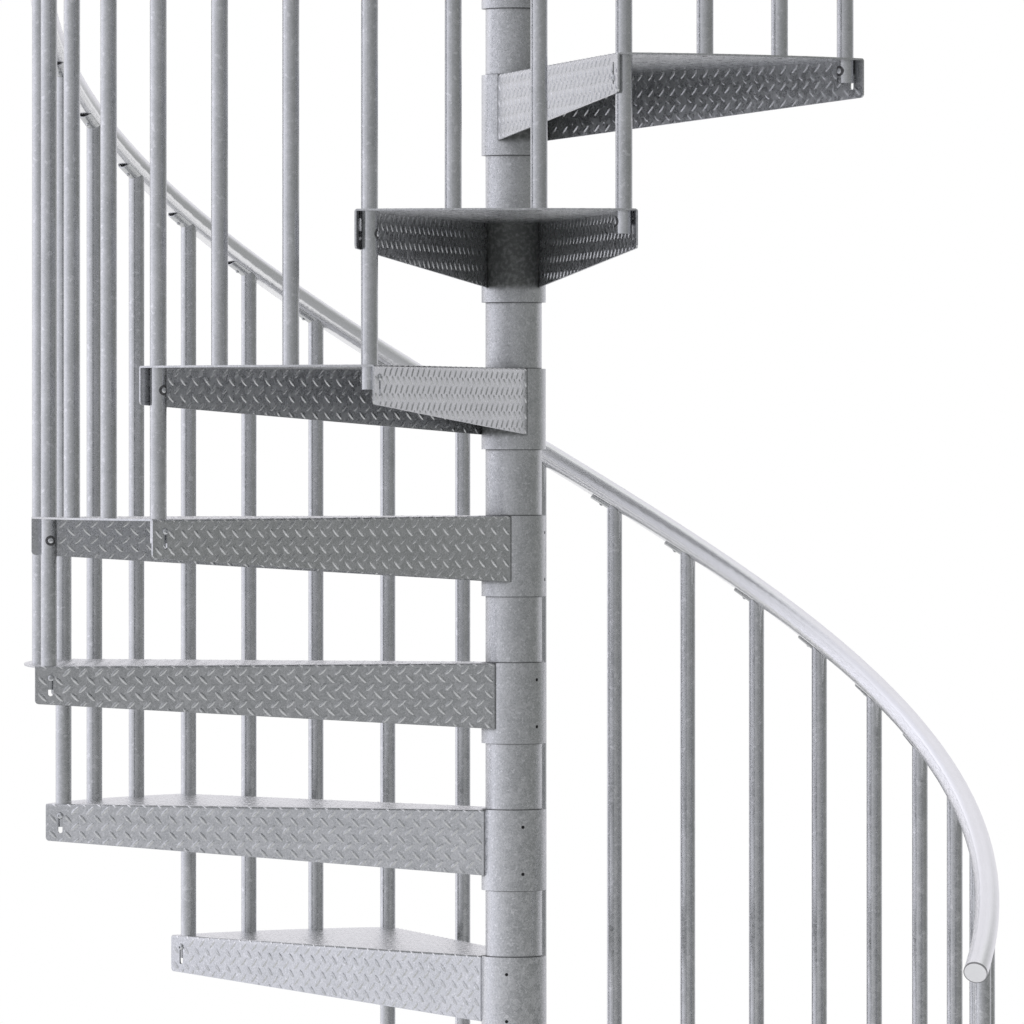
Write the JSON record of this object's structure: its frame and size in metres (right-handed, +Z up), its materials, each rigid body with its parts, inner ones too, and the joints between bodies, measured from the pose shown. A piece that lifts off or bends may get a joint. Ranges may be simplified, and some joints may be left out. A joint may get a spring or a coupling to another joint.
{
  "type": "spiral staircase",
  "caption": "Galvanised spiral staircase with folded checker plate treads on sleeves round a centre column, tube balusters and a round handrail.",
  "frame": {"origin": "on the column's axis, at the underside of the base plate, which stands on the floor", "axes": "+Z up along the column; +Y away from the viewer of the picture, +X to the viewer's right; the stair climbs counter-clockwise seen from above, and its first nose stands 11.18 degrees clockwise of +X"},
  "size_m": [1.5439, 1.5439, 4.057],
  "materials": {
    "tread_plate": "hot-dip galvanised checker plate",
    "column_steel": "hot-dip galvanised pipe and plate",
    "baluster_tube": "galvanised tube",
    "rail_aluminium": "smooth mill-finish aluminium tube",
    "rail_cap": "satin end plug"
  },
  "bodies": {
    "root": {"base_plate": "column_steel", "center_column": "column_steel", "column_cap": "column_steel", "tread_01": "tread_plate", "tread_02": "tread_plate", "tread_03": "tread_plate", "tread_04": "tread_plate", "tread_05": "tread_plate", "tread_06": "tread_plate", "tread_07": "tread_plate", "tread_08": "tread_plate", "tread_09": "tread_plate", "tread_10": "tread_plate", "tread_11": "tread_plate", "tread_12": "tread_plate", "landing_plate": "tread_plate", "sleeve_01": "column_steel", "sleeve_02": "column_steel", "sleeve_03": "column_steel", "sleeve_04": "column_steel", "sleeve_05": "column_steel", "sleeve_06": "column_steel", "sleeve_07": "column_steel", "sleeve_08": "column_steel", "sleeve_09": "column_steel", "sleeve_10": "column_steel", "sleeve_11": "column_steel", "sleeve_12": "column_steel", "landing_sleeve": "column_steel", "balusters_01_02": "baluster_tube", "balusters_03_04": "baluster_tube", "balusters_05_06": "baluster_tube", "balusters_07_08": "baluster_tube", "balusters_09_10": "baluster_tube", "balusters_11_12": "baluster_tube", "landing_balusters": "baluster_tube", "handrail_lower": "rail_aluminium", "handrail_middle": "rail_aluminium", "handrail_upper": "rail_aluminium", "landing_rail": "rail_aluminium", "handrail_lower_cap": "rail_cap", "landing_rail_cap": "rail_cap"}
  },
  "joints": []
}
